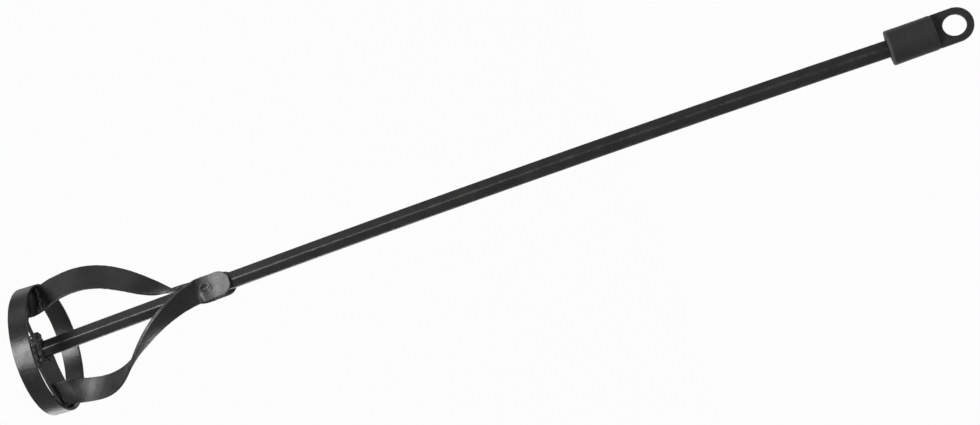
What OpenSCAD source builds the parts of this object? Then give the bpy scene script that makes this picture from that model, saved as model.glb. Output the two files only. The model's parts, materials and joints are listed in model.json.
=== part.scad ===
// Mortar mixing paddle: a hexagonal drive shaft with a twin-blade stirring
// basket welded to its lower end and a push-on hanging cap over the shank.
// Units mm. Z runs up the shaft axis; the origin is the centre of the plane
// the basket ring stands on. The front blade leaves the shaft on its -Y side
// and lands on the +X end of the cross bar; rear parts lie opposite.

/* [Shaft] */
// Hexagon size of the drive shaft, measured across its flats
shaft_af = 10; // [8:0.5:12]
// Height of the shaft's lower end above the standing plane
shaft_foot_z = 5; // [4.5:0.5:7]
// Height of the shaft's upper end, inside the cap
shaft_top_z = 574; // [420:1:700]
// Bevel on the corners of the shaft's upper end
shaft_bevel = 0.8; // [0.4:0.1:1.5]
// Turn of the shaft's corner line away from the front, in degrees
shaft_turn = 5.4; // [0:0.2:10]

/* [Ring] */
// Outside diameter of the ring at the bottom of the basket
ring_d = 80; // [76:1:90]
// Height of the ring's strip
ring_h = 12; // [10:0.5:14]
// Thickness of the ring's strip
ring_t = 2; // [1.8:0.1:2.4]
// Angle of the ring's closing weld, in degrees
seam_angle = -41; // [-50:1:-35]

/* [Cross bar] */
// Width of the cross bar's strip
bar_w = 15; // [12:0.5:16]
// Thickness of the cross bar's strip
bar_t = 2.2; // [1.8:0.1:2.6]
// Heading of the cross bar across the ring, in degrees
bar_heading = 13; // [8:1:20]
// Propeller pitch of the cross bar at the shaft, in degrees
bar_pitch_hub = 30; // [20:1:32]
// Propeller pitch of the cross bar at the ring, in degrees
bar_pitch_rim = 14; // [10:1:20]
// Height of the cross bar's centre line at the ring
bar_z = 4.9; // [4.5:0.1:6]

/* [Blades] */
// Width of the blade strip
blade_w = 15; // [13:0.5:16]
// Thickness of the blade strip
blade_t = 2.2; // [1.8:0.1:2.6]
// Height of the rounded top end of each blade
blade_top_z = 133; // [128:1:150]
// Height at which the blade leaves the shaft
blade_leave_z = 114; // [112:1:116]
// Height of the weld that holds the blade's top end
plug_z = 117; // [114:1:124]
// Diameter of that weld
plug_d = 5; // [4:0.5:6]
// Distance from the axis to the middle of the blade's foot
foot_r = 29.4; // [28.5:0.1:29.6]
// Offset of the foot's middle across the cross bar
foot_q = -2.5; // [-3:0.1:-2]
// Turn of the foot from the cross bar's own heading, in degrees
foot_skew = 18; // [14:1:20]

/* [Cap] */
// Height of the cap's open end
cap_z = 549; // [400:0.5:672]
// Length of the cap's round sleeve
cap_sleeve_l = 28; // [26.5:0.5:40]
// Sleeve diameter at the open end
cap_d0 = 21.2; // [18:0.1:26]
// Sleeve diameter at the closed end
cap_d1 = 21; // [17:0.1:24]
// Bore of the sleeve over the shaft's corners
cap_bore_d = 11.8; // [11.7:0.1:13]
// Thickness of the hanging tab
tab_t = 3; // [2.4:0.1:5]
// Height of the hanging tab above the sleeve
tab_l = 23; // [20:0.5:30]
// Diameter of the hanging hole
hang_hole_d = 13.8; // [9:0.1:14]
// Turn of the hanging tab about the shaft, in degrees
tab_turn = -20; // [-45:1:45]

/* [Hidden] */

steel_color = [0.10, 0.10, 0.11];
weld_color = [0.13, 0.13, 0.13];
cap_color = [0.16, 0.16, 0.165];

corner_r = shaft_af / 2 / cos(30);
ring_r = ring_d / 2;
ring_in = ring_r - ring_t;

// ---------- vectors and curves ----------
function unit(v) = v / norm(v);
function lerp(a, b, t) = a + (b - a) * t;
function factorial(n) = n < 2 ? 1 : n * factorial(n - 1);
function choose(n, i) = factorial(n) / (factorial(i) * factorial(n - i));
function total(v, i = 0) = i == len(v) - 1 ? v[i] : v[i] + total(v, i + 1);
// Bezier curve of any degree through control values, which may be points or numbers.
function bezier(controls, u) =
    let (n = len(controls) - 1)
    total([for (i = [0 : n]) choose(n, i) * pow(1 - u, n - i) * pow(u, i) * controls[i]]);
function steps_between(points) =
    [for (i = [0 : len(points) - 2]) points[i + 1] - points[i]];

// ---------- skins ----------
// Side faces of a skin over rings of points; a closed skin joins last ring to first.
function side_faces(rings, sides, closed = false) =
    [for (i = [0 : rings - (closed ? 1 : 2)]) for (j = [0 : sides - 1])
        let (here = i * sides, next = (i + 1) % rings * sides, k = (j + 1) % sides)
        each [[here + j, next + k, here + k], [here + j, next + j, next + k]]];

// Skin through rings of points, capped at both ends.
module skin(rings) {
    sides = len(rings[0]);
    count = len(rings);
    polyhedron(
        points = [for (ring = rings) each ring],
        faces = concat(
            [[for (j = [0 : sides - 1]) j]],
            side_faces(count, sides),
            [[for (j = [sides - 1 : -1 : 0]) (count - 1) * sides + j]]),
        convexity = 8);
}

// One section of a flat strip with bevelled edges.
function strip_section(centre, width_dir, normal, width, thick) =
    let (bevel = min(0.45, thick * 0.22),
         hw = width / 2, hw_in = hw - bevel,
         ht = thick / 2, ht_in = ht - bevel)
    [for (p = [[-hw_in, ht], [-hw, ht_in], [-hw, -ht_in], [-hw_in, -ht],
               [hw_in, -ht], [hw, -ht_in], [hw, ht_in], [hw_in, ht]])
        centre + width_dir * p[0] + normal * p[1]];

// ---------- weld beads ----------
bead_sides = 10;

function bead_ring(centre, along, radius) =
    let (up = abs(along[2]) > 0.9 ? [1, 0, 0] : [0, 0, 1],
         side = unit(cross(along, up)), other = cross(along, side))
    [for (j = [0 : bead_sides - 1])
        let (angle = 360 * j / bead_sides)
        centre + radius * (cos(angle) * side + sin(angle) * other)];

// Radius at step i of n: tapered at both ends, with ripples set by the seed.
function bead_radius(radius, i, n, seed) =
    let (taper = sqrt(max(1 - pow(2 * i / n - 1, 6), 0.02)))
    radius * taper * (1 + 0.10 * sin(i * 97 + seed) + 0.06 * sin(i * 211 + 2 * seed));

// A bead laid along a path of points.
module bead(path, radius, seed) {
    n = len(path) - 1;
    color(weld_color) skin([for (i = [0 : n])
        let (along = unit(path[min(i + 1, n)] - path[max(i - 1, 0)]))
        bead_ring(path[i], along, bead_radius(radius, i, n, seed))]);
}

// ---------- shaft ----------
module hex_shaft() {
    straight_l = shaft_top_z - shaft_foot_z - shaft_bevel;
    color(steel_color) rotate([0, 0, 30 - shaft_turn])
        translate([0, 0, shaft_foot_z]) {
            cylinder(r = corner_r, h = straight_l, $fn = 6);
            translate([0, 0, straight_l])
                cylinder(r1 = corner_r, r2 = corner_r - shaft_bevel, h = shaft_bevel, $fn = 6);
        }
}

// ---------- ring ----------
module ring_band() {
    bevel = 0.35;
    color(steel_color) rotate_extrude($fn = 180)
        polygon([[ring_in + bevel, 0], [ring_r - bevel, 0],
                 [ring_r, bevel], [ring_r, ring_h - bevel],
                 [ring_r - bevel, ring_h], [ring_in + bevel, ring_h],
                 [ring_in, ring_h - bevel], [ring_in, bevel]]);
}

// Upright bead on the inside of the ring.
module ring_seam_weld() {
    n = 14;
    r = ring_in - 0.1;
    path = [for (i = [0 : n])
        [r * cos(seam_angle), r * sin(seam_angle), lerp(0.9, ring_h - 0.4, i / n)]];
    bead(path, radius = 1.0, seed = 40);
}

// ---------- cross bar ----------
// s is the distance along the bar from the axis, q the distance across it.
bar_sag = 0.4;     // drop of the centre line at the shaft, below bar_z
bar_turnover = 7;  // distance each side of the axis over which the tilt reverses
bar_along = [cos(bar_heading), sin(bar_heading), 0];
bar_across = [-sin(bar_heading), cos(bar_heading), 0];

function bar_pitch(s) = lerp(bar_pitch_hub, bar_pitch_rim, abs(s) / ring_in);
// The tilt is opposite on the two halves, like a propeller's.
function bar_tilt(s) =
    abs(s) < bar_turnover
        ? lerp(-bar_pitch(bar_turnover), bar_pitch(bar_turnover),
               (s + bar_turnover) / (2 * bar_turnover))
        : (s > 0 ? 1 : -1) * bar_pitch(s);
function bar_centre(s) =
    bar_along * s + [0, 0, bar_z - bar_sag * (1 - pow(s / ring_in, 2))];
function bar_width_dir(s) = bar_across * cos(bar_tilt(s)) + [0, 0, sin(bar_tilt(s))];

// The strip is made too long, then trimmed to the inside of the ring.
module cross_bar() {
    n = 64;
    reach = ring_in + 1;
    color(steel_color) intersection() {
        skin([for (i = [0 : n])
            let (s = lerp(-reach, reach, i / n), width_dir = bar_width_dir(s))
            strip_section(bar_centre(s), width_dir, unit(cross(bar_along, width_dir)),
                          bar_w, bar_t)]);
        cylinder(r = ring_in + 0.05, h = 40, center = true, $fn = 120);
    }
}

// Uneven loop of weld round the lower end of the shaft, lying on the cross bar.
module hub_weld() {
    n = 40;
    loop_r = 6.0;
    bead_r = 1.9;
    lowest_z = 2.6;
    rings = [for (i = [0 : n - 1])
        let (a = 360 * i / n,
             r = loop_r + 0.35 * sin(3 * a + 40),
             s = r * cos(a), q = r * sin(a),
             z = bar_centre(s)[2] + q * tan(bar_tilt(s)) + bar_t / 2,
             flat = bar_along * s + bar_across * q,
             along = [-sin(a + bar_heading), cos(a + bar_heading), 0])
        bead_ring([flat[0], flat[1], max(z, lowest_z)], along,
                  bead_r * (1 + 0.16 * sin(5 * a) + 0.10 * sin(11 * a + 60)))];
    color(weld_color)
        polyhedron(points = [for (ring = rings) each ring],
                   faces = side_faces(n, bead_sides, closed = true), convexity = 6);
}

// Bead along the +X end of the cross bar, where it meets the inside of the ring.
module bar_end_weld() {
    n = 20;
    r = ring_in - 0.5;
    lowest_z = 1.2;
    path = [for (i = [0 : n])
        let (q = lerp(-0.44 * bar_w, 0.5 * bar_w, i / n),
             s = sqrt(r * r - q * q * 0.9),
             p = bar_centre(s) + bar_width_dir(s) * q + [0, 0, bar_t / 2],
             to_ring = r / norm([p[0], p[1]]))
        [p[0] * to_ring, p[1] * to_ring, max(p[2], lowest_z)]];
    bead(path, radius = 1.1, seed = 10);
}
module bar_end_weld_front() { bar_end_weld(); }
module bar_end_weld_rear() { rotate([0, 0, 180]) bar_end_weld(); }

// ---------- blades ----------
// Both blades are shaped in the front position; the rear one is then turned
// half round. The centre line is a Bezier curve from the shaft out over the
// belly of the basket and down to the cross bar.
blade_sink = 0.25;  // depth of the blade's inner face in the shaft's corner
out_dir = [-sin(shaft_turn), -cos(shaft_turn), 0];
side_dir = [cos(shaft_turn), -sin(shaft_turn), 0];
blade_top = out_dir * (corner_r + blade_t / 2 - blade_sink);
blade_foot = bar_centre(foot_r) + bar_width_dir(foot_r) * foot_q
    + [0, 0, bar_t / 2 + 0.1];

// Control points of the curve; each belly row is [x, y, z].
function blade_line(belly) = concat(
    [blade_top + [0, 0, blade_leave_z], blade_top + [0, 0, blade_leave_z - 2]],
    belly, [blade_foot]);
line_front = blade_line([[3.9, -67.4, 49.5], [65.5, 36.2, 67.5], [26.4, -15.1, 15.4]]);
line_rear = blade_line([[-0.2, -69.1, 39.3], [62.4, 40.6, 86.3], [24.6, -19.5, 6.1]]);

// Control values for the heading of the strip's width, in degrees from side_dir.
twist_end = 180 + bar_heading + foot_skew + shaft_turn;
twist_front = [0, 82.7, 24.2, 210.7, 115.7, twist_end];
twist_rear = [0, -33.8, 291.5, 175.6, 107.9, twist_end];

// A frame on the blade at u is [centre, width direction, normal, direction along].
CENTRE = 0;
WIDTH = 1;
NORMAL = 2;
ALONG = 3;
function blade_frame(line, twist, u) =
    let (along = unit(bezier(steps_between(line), u)),
         heading = bezier(twist, u) - shaft_turn,
         level = [cos(heading), sin(heading), 0],
         width_dir = unit(level - (level * along) * along))
    [bezier(line, u), width_dir, unit(cross(along, width_dir)), along];

function top_section(z, width) =
    strip_section(blade_top + [0, 0, z], side_dir, out_dir, width, blade_t);

// Sections from the top down: rounded end, straight part, curve. The curve's
// first two steps are left out, as the straight part runs into it.
function blade_sections(line, twist) =
    let (round_n = 8, curve_n = 56, round_r = blade_w / 2, tip_w = 1.6)
    concat(
        [for (i = [0 : round_n])
            let (a = 90 * (1 - i / round_n))
            top_section(blade_top_z - round_r + round_r * sin(a),
                        max(2 * round_r * cos(a), tip_w))],
        [top_section(blade_leave_z + 4, blade_w)],
        [for (i = [2 : curve_n])
            let (f = blade_frame(line, twist, i / curve_n))
            strip_section(f[CENTRE], f[WIDTH], f[NORMAL], blade_w, blade_t)]);

module blade(line, twist) { color(steel_color) skin(blade_sections(line, twist)); }
module blade_front() { blade(line_front, twist_front); }
module blade_rear() { rotate([0, 0, 180]) blade(line_rear, twist_rear); }

// Weld that fuses the blade's top end to the shaft, with a sunk middle.
// The profile is [radius, height outward from the shaft].
module plug_weld() {
    r = plug_d / 2;
    color(weld_color) rotate([0, 0, -shaft_turn])
        translate([0, -corner_r + 0.35, plug_z])
            rotate([90, 0, 0]) rotate_extrude($fn = 40)
                polygon([[0, 0], [r, 0], [r, blade_t - 0.1],
                         [r - 0.5, blade_t + 0.35], [r - 1.1, blade_t + 0.25],
                         [r - 1.7, blade_t - 0.5], [0, blade_t - 0.8]]);
}
module plug_weld_front() { plug_weld(); }
module plug_weld_rear() { rotate([0, 0, 180]) plug_weld(); }

// Both blade beads start this far from the blade's middle, on its inner half.
blade_bead_q = 0.47 * blade_w;

// Bead between the foot of a blade and the cross bar.
module foot_weld(line, twist, seed) {
    n = 22;
    f = blade_frame(line, twist, 1);
    path = [for (i = [0 : n])
        f[CENTRE] + f[WIDTH] * lerp(blade_bead_q, -blade_bead_q, i / n)
            - f[NORMAL] * (blade_t / 2 + 0.1) + [0, 0, -0.1]];
    bead(path, radius = 1.15, seed = seed);
}
module foot_weld_front() { foot_weld(line_front, twist_front, seed = 70); }
module foot_weld_rear() { rotate([0, 0, 180]) foot_weld(line_rear, twist_rear, seed = 10); }

// Curve parameter where the centre line comes down to the ring's upper edge,
// found by halving the interval.
function rim_u(line, twist, low = 0.5, high = 1, pass = 0) =
    let (mid = (low + high) / 2)
    pass > 20 ? mid
        : blade_frame(line, twist, mid)[CENTRE][2] > ring_h - 0.3
            ? rim_u(line, twist, mid, high, pass + 1)
            : rim_u(line, twist, low, mid, pass + 1);
// Point q across the blade, level with the frame's centre, then moved along
// the normal to just off the blade's face.
function rim_point(f, q) =
    f[CENTRE] + f[WIDTH] * q - f[ALONG] * (f[WIDTH][2] * q / f[ALONG][2])
        + f[NORMAL] * (blade_t / 2 + 0.25);
// Steps q outward until the point lies in the ring's strip.
function rim_reach(f, q = -0.4 * blade_w) =
    let (p = rim_point(f, q))
    norm([p[0], p[1]]) > ring_in + 0.9 || q < -blade_w ? q : rim_reach(f, q - 0.1);

// Bead across a blade near the ring's upper edge, running out into the ring.
module rim_weld(line, twist, seed) {
    n = 22;
    f = blade_frame(line, twist, rim_u(line, twist));
    end_q = rim_reach(f);
    path = [for (i = [0 : n])
        rim_point(f, lerp(blade_bead_q, end_q, i / n)) + [0, 0, 0.5 * sin(i * 50 + seed)]];
    bead(path, radius = 1.1, seed = seed);
}
module rim_weld_front() { rim_weld(line_front, twist_front, seed = 20); }
module rim_weld_rear() { rotate([0, 0, 180]) rim_weld(line_rear, twist_rear, seed = 140); }

// ---------- hanging cap ----------
cap_top = cap_z + cap_sleeve_l;
cap_bevel = 0.7;
tab_w = cap_d1 + 0.1;
tab_root = 4;  // depth of the tab inside the sleeve
tab_round_z = cap_top + tab_l - tab_w / 2;
hole_z = tab_round_z - 0.65;

module cap_sleeve() {
    r0 = cap_d0 / 2;
    r1 = cap_d1 / 2;
    translate([0, 0, cap_z]) rotate_extrude($fn = 96)
        polygon([[0, 0], [r0 - cap_bevel, 0], [r0, cap_bevel],
                 [r1, cap_sleeve_l - cap_bevel / 2],
                 [r1 - cap_bevel / 2, cap_sleeve_l], [0, cap_sleeve_l]]);
}

module cap_tab() {
    translate([0, tab_t / 2, 0]) rotate([90, 0, 0]) linear_extrude(tab_t) {
        translate([-tab_w / 2, cap_top - tab_root])
            square([tab_w, tab_round_z - cap_top + tab_root]);
        translate([0, tab_round_z]) circle(d = tab_w, $fn = 96);
    }
}

module hang_cap() {
    color(cap_color) rotate([0, 0, tab_turn]) difference() {
        union() {
            cap_sleeve();
            cap_tab();
        }
        // Bore, ending 0.4 above the shaft, and its flared mouth
        translate([0, 0, cap_z - 1])
            cylinder(d = cap_bore_d, h = shaft_top_z - cap_z + 1.4, $fn = 64);
        translate([0, 0, cap_z - 0.01])
            cylinder(d1 = cap_bore_d + 1.6, d2 = cap_bore_d, h = 0.8, $fn = 64);
        translate([0, 0, hole_z]) rotate([90, 0, 0])
            cylinder(d = hang_hole_d, h = 20, center = true, $fn = 96);
    }
}

hex_shaft();
ring_band();
ring_seam_weld();
cross_bar();
hub_weld();
bar_end_weld_front();
bar_end_weld_rear();
blade_front();
blade_rear();
plug_weld_front();
plug_weld_rear();
foot_weld_front();
foot_weld_rear();
rim_weld_front();
rim_weld_rear();
hang_cap();
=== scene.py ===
# A paddle on a hexagonal shaft: an upright ring band at the foot, a cross bar through the ring,
# two twisted blades welded from the bar up to the shaft, and a soft cap with a hanging tab.
# The shaft runs up +Z from the ring, which stands near z = 0. The front faces -Y.
# The rear blade and its welds start as front pieces and are turned half round the shaft.
# Shapes are worked out in millimetres and turned into metres in make_mesh.
import json
import math
import bpy
import bmesh
import numpy as np
from mathutils import Matrix, Vector, noise

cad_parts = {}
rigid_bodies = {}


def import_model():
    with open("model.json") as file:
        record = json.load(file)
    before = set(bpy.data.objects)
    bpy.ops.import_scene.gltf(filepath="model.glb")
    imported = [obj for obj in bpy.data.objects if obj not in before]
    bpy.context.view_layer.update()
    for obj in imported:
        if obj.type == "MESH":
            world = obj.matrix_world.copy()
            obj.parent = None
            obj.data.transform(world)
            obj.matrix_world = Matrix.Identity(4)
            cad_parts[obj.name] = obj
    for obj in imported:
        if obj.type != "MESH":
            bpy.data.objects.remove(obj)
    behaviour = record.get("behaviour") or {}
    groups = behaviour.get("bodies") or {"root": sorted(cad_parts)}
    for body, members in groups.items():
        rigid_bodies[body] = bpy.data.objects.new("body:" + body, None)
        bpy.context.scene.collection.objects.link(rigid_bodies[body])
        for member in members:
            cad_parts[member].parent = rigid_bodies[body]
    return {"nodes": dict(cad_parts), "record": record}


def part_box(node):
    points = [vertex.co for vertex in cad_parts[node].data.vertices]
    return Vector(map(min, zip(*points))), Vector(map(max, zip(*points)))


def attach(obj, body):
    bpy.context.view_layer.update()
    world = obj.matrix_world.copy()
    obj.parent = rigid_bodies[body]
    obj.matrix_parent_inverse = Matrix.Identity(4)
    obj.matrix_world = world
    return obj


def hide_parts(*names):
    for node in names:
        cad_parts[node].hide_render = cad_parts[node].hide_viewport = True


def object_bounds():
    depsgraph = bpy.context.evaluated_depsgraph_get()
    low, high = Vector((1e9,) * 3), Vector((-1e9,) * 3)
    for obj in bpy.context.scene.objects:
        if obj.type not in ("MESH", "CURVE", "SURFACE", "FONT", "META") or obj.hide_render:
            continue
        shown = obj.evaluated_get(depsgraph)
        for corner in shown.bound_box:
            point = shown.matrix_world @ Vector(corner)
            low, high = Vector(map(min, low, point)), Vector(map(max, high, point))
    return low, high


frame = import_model()
cad_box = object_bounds()
MM = 0.001
SIDES = ("front", "rear")


# ---------------------------------------------------------------- sizes read from the frame
def box_mm(node):
    low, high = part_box(node)
    return np.array(low) * 1000.0, np.array(high) * 1000.0


def verts_mm(node):
    return np.array([v.co for v in frame["nodes"][node].data.vertices]) * 1000.0


ring_low, ring_high = box_mm("ring_band")
ring_verts = verts_mm("ring_band")
RING_R = ring_high[0]
RING_H = ring_high[2] - ring_low[2]
RING_IN = float(np.hypot(ring_verts[:, 0], ring_verts[:, 1]).min())
RING_T = RING_R - RING_IN

shaft_low, shaft_high = box_mm("hex_shaft")
SHAFT_Z0, SHAFT_Z1 = shaft_low[2], shaft_high[2]
shaft_verts = verts_mm("hex_shaft")
shaft_foot = shaft_verts[shaft_verts[:, 2] < SHAFT_Z0 + 1]
CORNER_R = float(np.hypot(shaft_foot[:, 0], shaft_foot[:, 1]).max())

cap_low, cap_high = box_mm("hang_cap")
CAP_Z0, CAP_Z1 = cap_low[2], cap_high[2]
CAP_R0 = (cap_high[0] - cap_low[0]) / 2

hole = {m["name"]: m for m in frame["record"]["mounts"]}["hang_hole"]
HOLE_Z = hole["pos_m"][2] * 1000.0
HOLE_R = hole["dims"]["r_mm"]
TAB_T = hole["dims"]["length_mm"]
TAB_NORMAL = np.array(hole["axis"], float)

bar_low, bar_high = box_mm("cross_bar")
BAR_Z = (bar_low[2] + bar_high[2]) / 2 + 0.385
TOP_Z = box_mm("blade_front")[1][2]                       # top of the blades
PLUG_Z = float(sum(box_mm("plug_weld_front"))[2] / 2)     # height of the plug welds

# ---------------------------------------------------------------- set sizes, mm and degrees
TURN = 5.4                    # turn of shaft and blades about Z
BLADE_T, BLADE_W = 2.2, 15.0
BAR_T, BAR_W = 2.2, 15.0
BAR_HEAD = 13.0               # the bar's heading from +X towards +Y
HUB_PITCH, RIM_PITCH = 25, 14  # the bar's tilt about its own length, at the middle and the ring
HUB_HALF = 7                  # half length of the turn through the bar's middle

# as-made departures from the nominal shape
RING_LEAN = 3.0               # the ring sits out of square
SHAFT_BOW = 2.56              # depth of the shaft's bow between its foot and the cap
BAR_DIP = 2.1                 # drop of the bar's middle

UP = np.array([0, 0, 1.0])
HALF_TURN = np.array([-1, -1, 1])


# ---------------------------------------------------------------- small maths
def rad(degrees):
    return math.radians(degrees)


def smooth(t):
    t = np.clip(t, 0, 1)
    return t * t * (3 - 2 * t)


def unit(v):
    return v / np.linalg.norm(v)


def sign(condition):
    return 1 if condition else -1


def wobble(p, size, seed):
    """Signed noise at a point; size is that of its features."""
    return noise.noise(Vector((p[0] / size + seed, p[1] / size - seed * 0.7,
                               p[2] / size + seed * 1.3)))


def bezier(points, u):
    n = len(points) - 1
    return sum(math.comb(n, i) * (1 - u) ** (n - i) * u ** i * np.asarray(points[i], float)
               for i in range(n + 1))


# ---------------------------------------------------------------- shapes: (vertices, faces)
def bands(starts, count):
    """Quads between successive loops of count vertices, given each loop's first index."""
    return [(a + j, a + (j + 1) % count, b + (j + 1) % count, b + j)
            for a, b in zip(starts, starts[1:]) for j in range(count)]


def fan(start, count, centre):
    return [(start + j, start + (j + 1) % count, centre) for j in range(count)]


def tube(rings, closed=False):
    """Skin through equal rings of points; open ends are closed by fans round a centre point."""
    count = len(rings[0])
    verts = [p for ring in rings for p in ring]
    starts = [i * count for i in range(len(rings))]
    if closed:
        return verts, bands(starts + [0], count)
    faces = bands(starts, count)
    for start, ring in ((starts[0], rings[0]), (starts[-1], rings[-1])):
        faces += fan(start, count, len(verts))
        verts.append(np.mean(np.array(ring), axis=0))
    return verts, faces


def globe(centre, offset, pole, around, down):
    """Closed ball: offset(direction) places the rows, pole is the height of the two poles."""
    centre = np.array(centre, float)
    verts = []
    for row in range(1, down):
        polar = math.pi * row / down
        for col in range(around):
            turn = 2 * math.pi * col / around
            direction = np.array([math.sin(polar) * math.cos(turn),
                                  math.sin(polar) * math.sin(turn), math.cos(polar)])
            verts.append(centre + offset(direction))
    starts = [row * around for row in range(down - 1)]
    top = len(verts)
    verts += [centre + UP * pole, centre - UP * pole]
    faces = bands(starts, around) + fan(0, around, top) + fan(starts[-1], around, top + 1)
    return verts, faces


def join(shapes):
    verts, faces = [], []
    for part_verts, part_faces in shapes:
        first = len(verts)
        verts += list(part_verts)
        faces += [tuple(i + first for i in face) for face in part_faces]
    return verts, faces


def remap(shape, move):
    verts, faces = shape
    return [move(p) for p in verts], faces


def swayed(shape, sway):
    """Shift along X by an amount that depends on height."""
    return remap(shape, lambda p: p + np.array([sway(p[2]), 0, 0]))


def turned(shape, side):
    """The rear pieces are turned half round the Z axis."""
    return remap(shape, lambda p: p * HALF_TURN) if side == "rear" else shape


def shade_smooth(mesh):
    mesh.polygons.foreach_set("use_smooth", [True] * len(mesh.polygons))


def point_values(mesh, name, values):
    mesh.attributes.new(name, "FLOAT", "POINT").data.foreach_set("value", values)


def make_mesh(name, shape, edges=None):
    """Object from a shape in mm; edges is the mask of lighter edges (worn paint, in part a
    painted highlight), one value per vertex.
    """
    verts, faces = shape
    mesh = bpy.data.meshes.new(name)
    mesh.from_pydata([tuple(float(c) * MM for c in v) for v in verts], [],
                     [tuple(f) for f in faces])
    mesh.validate()
    bm = bmesh.new()
    bm.from_mesh(mesh)
    bmesh.ops.recalc_face_normals(bm, faces=bm.faces)
    bm.to_mesh(mesh)
    bm.free()
    shade_smooth(mesh)
    if edges is not None:
        point_values(mesh, "edge", [float(x) for x in edges])
    ob = bpy.data.objects.new(name, mesh)
    bpy.context.scene.collection.objects.link(ob)
    return ob


# ---------------------------------------------------------------- sway and lean
def shaft_sway(z):
    """X offset of the shaft's axis: a bow, and a little more near the foot."""
    share = min(max(z / CAP_Z0, 0.0), 1.0)
    return -SHAFT_BOW * 4 * share * (1 - share) - 0.55 * min(max(1 - z / 110.0, 0.0), 1.0)


def blade_sway(z):
    """X offset of the blades: their own low down, the shaft's higher up."""
    low = -0.5 - 1.0 * float(smooth((z - 7.0) / 15.0))
    k = float(smooth((z - 80.0) / 30.0))
    return low * (1 - k) + shaft_sway(z) * k


def lean(p):
    """Ring points: slightly out of round, then leant about the Y direction."""
    around = math.atan2(p[1], p[0])
    bulge = 0.6 * math.cos(around) ** 2
    x = p[0] + bulge * math.cos(around)
    y = p[1] + bulge * math.sin(around)
    z = p[2] - RING_H / 2
    cos, sin = math.cos(rad(RING_LEAN)), math.sin(rad(RING_LEAN))
    return np.array([x * cos + z * sin, y, -x * sin + z * cos + RING_H / 2])


# ---------------------------------------------------------------- rounded sections
def rounded_outline(centres, radius, start, arc_steps, flats):
    """Counterclockwise points (x, y, edge mask) of a round-cornered outline.

    The first arc begins at start degrees. flats, used in turn, are the shares of the
    straight run that get a point, and their edge mask.
    """
    corner_turn = 360 / len(centres)
    points = []
    for i, (cx, cy) in enumerate(centres):
        for k in range(arc_steps + 1):
            angle = rad(start + corner_turn * (i + k / arc_steps))
            x = cx + radius * math.cos(angle)
            y = cy + radius * math.sin(angle)
            points.append((x, y, 1.0))
        next_x, next_y = centres[(i + 1) % len(centres)]
        end_x = next_x + radius * math.cos(angle)
        end_y = next_y + radius * math.sin(angle)
        shares, edge = flats[i % len(flats)]
        points += [(x + (end_x - x) * f, y + (end_y - y) * f, edge) for f in shares]
    return points


def strip_profile(width, thick, radius, wide_steps, side_steps=3):
    """Section of a strip: x across the width, y across the thickness."""
    radius = min(radius, thick / 2 * 0.98)
    in_x, in_y = width / 2 - radius, thick / 2 - radius
    wide = [k / wide_steps for k in range(1, wide_steps)]
    # gather the stations towards the corners
    wide = [0.55 * (0.5 - 0.5 * math.cos(math.pi * f)) + 0.45 * f for f in wide]
    side = [k / side_steps for k in range(1, side_steps)]
    centres = [(in_x, in_y), (-in_x, in_y), (-in_x, -in_y), (in_x, -in_y)]
    # the corners carry the full edge mask and the narrow sides 0.6 of it; the paint lightens
    # both, partly as a painted highlight
    return rounded_outline(centres, radius, start=0, arc_steps=5,
                           flats=[(wide, 0.0), (side, 0.6)])


# ---------------------------------------------------------------- cross bar
BAR_ALONG = np.array([math.cos(rad(BAR_HEAD)), math.sin(rad(BAR_HEAD)), 0])
BAR_STEPS = 300
# light scratches on the upper face: (along, across) of each end
SCRATCHES = (((7.9, 5.6), (17.6, -1.7)), ((10.6, 6.6), (18.5, 0.2)))
SCRATCH_HALF, SCRATCH_DEPTH = 0.34, 0.07


def bar_pitch(along):
    return HUB_PITCH + (RIM_PITCH - HUB_PITCH) * min(abs(along), RING_IN) / RING_IN


def bar_centre(along):
    share = min(abs(along) / RING_IN, 1.0)
    belly = 1.5 if along < 0 else 0.3
    sag = BAR_DIP * (1 - share ** 2.5) + belly * math.sin(math.pi * share) ** 2
    return np.array([along * math.cos(rad(BAR_HEAD)), along * math.sin(rad(BAR_HEAD)),
                     BAR_Z - 0.4 * (1 - (along / RING_IN) ** 2) - sag])


def bar_across(along):
    """Direction of the bar's width; its tilt swaps sides through the middle."""
    if abs(along) < HUB_HALF:
        hub = bar_pitch(HUB_HALF)
        k = (along + HUB_HALF) / (2 * HUB_HALF)
        # an easier turn than a straight blend
        pitch = -hub + 2 * hub * (0.6 * k + 0.4 * k * k * (3 - 2 * k))
    else:
        pitch = math.copysign(bar_pitch(along), along)
    return np.array([-math.sin(rad(BAR_HEAD)) * math.cos(rad(pitch)),
                     math.cos(rad(BAR_HEAD)) * math.cos(rad(pitch)), math.sin(rad(pitch))])


def bar_point(along, across, lift):
    return bar_centre(along) + bar_across(along) * across + UP * lift


def scratch(along, across):
    """0..1, how near a point of the upper face is to a scratch."""
    nearest = 0.0
    for (a0, b0), (a1, b1) in SCRATCHES:
        da, db = a1 - a0, b1 - b0
        t = ((along - a0) * da + (across - b0) * db) / (da * da + db * db)
        t = min(max(t, 0.0), 1.0)
        gap = math.hypot(along - a0 - t * da, across - b0 - t * db)
        nearest = max(nearest, math.exp(-(gap / SCRATCH_HALF) ** 2))
    return nearest


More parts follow.
